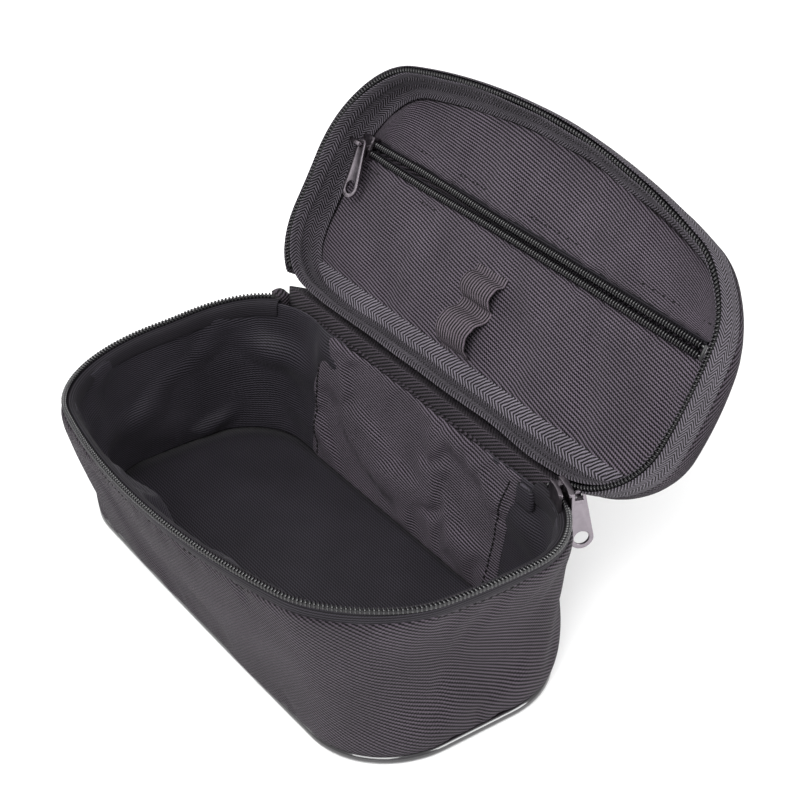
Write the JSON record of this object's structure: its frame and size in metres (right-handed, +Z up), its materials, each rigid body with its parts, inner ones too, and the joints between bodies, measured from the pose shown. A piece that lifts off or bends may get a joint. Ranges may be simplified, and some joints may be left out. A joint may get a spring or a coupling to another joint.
{
  "type": "pencil case",
  "caption": "Soft D-shaped pencil case with a zip round three sides, a hinged padded lid with a zipped pocket and pen loops, and metal zip sliders with swinging pulls.",
  "frame": {"origin": "centre of the bottom, on the surface it stands on", "axes": "+X along the case's length, -Y towards the opening side, +Y towards the hinge, +Z up"},
  "size_m": [0.2046, 0.1658, 0.1531],
  "materials": {
    "outer_cloth": "fine ribbed polyester weave, charcoal",
    "lining_cloth": "smooth woven lining, dark slate",
    "zip_tape": "herringbone woven tape, black",
    "zip_coil": "nylon coil, black",
    "piping": "glossy covered cord, black",
    "elastic": "ribbed elastic, black",
    "foam": "soft foam sheet, grey",
    "board": "stiff plastic board",
    "slider_metal": "gunmetal plated zinc casting"
  },
  "bodies": {
    "base": {"bottom_panel": "outer_cloth", "bottom_board": "board", "bottom_lining": "lining_cloth", "bottom_piping": "piping", "base_front_band": "outer_cloth", "base_back_panel": "outer_cloth", "base_wall_foam": "foam", "base_band_lining": "lining_cloth", "base_back_lining": "lining_cloth", "lower_zip_tape": "zip_tape", "lower_zip_coil": "zip_coil", "hinge_fold": "zip_tape", "zip_end_right": "outer_cloth", "zip_end_left": "outer_cloth"},
    "lid": {"upper_zip_coil": "zip_coil", "upper_zip_tape": "zip_tape", "lid_back_wall": "outer_cloth", "lid_seam_binding": "zip_tape", "lid_top_panel": "outer_cloth", "lid_foam_pad": "foam", "pocket_backing": "lining_cloth", "lid_lining_lower": "lining_cloth", "lid_lining_upper": "lining_cloth", "hinge_binding": "zip_tape", "pocket_coil_lower": "zip_coil", "pocket_tape_lower": "zip_tape", "pocket_coil_upper": "zip_coil", "pocket_tape_upper": "zip_tape", "pocket_zip_stops": "zip_coil", "pen_loop_elastic": "elastic"},
    "main_slider": {"main_slider_body": "slider_metal"},
    "main_tab": {"main_pull": "slider_metal"},
    "pocket_slider": {"pocket_slider_body": "slider_metal"},
    "pocket_tab": {"pocket_pull": "slider_metal"}
  },
  "joints": [
    {"name": "lid_hinge", "type": "hinge", "parent": "base", "child": "lid", "pos_m": [0, 0.0455, 0.063], "axis": [-1, 0, 0], "range_deg": [-122, 22]},
    {"name": "main_slider_travel", "type": "hinge", "parent": "base", "child": "main_slider", "pos_m": [0.0745, 0.0175, 0.063], "axis": [0, 0, -1], "range_deg": [0, 10]},
    {"name": "main_pull_swing", "type": "hinge", "parent": "main_slider", "child": "main_tab", "pos_m": [0.08534, 0.04729, 0.0626], "axis": [0.9397, -0.342, 0], "range_deg": [0, 36]},
    {"name": "pocket_slider_travel", "type": "slide", "parent": "lid", "child": "pocket_slider", "axis": [1, 0, 0], "range_m": [0, 0.168]},
    {"name": "pocket_pull_swing", "type": "hinge", "parent": "pocket_slider", "child": "pocket_tab", "pos_m": [-0.0874, 0.08279, 0.10683], "axis": [0, -0.8434, 0.5373], "range_deg": [-22, 16]}
  ]
}
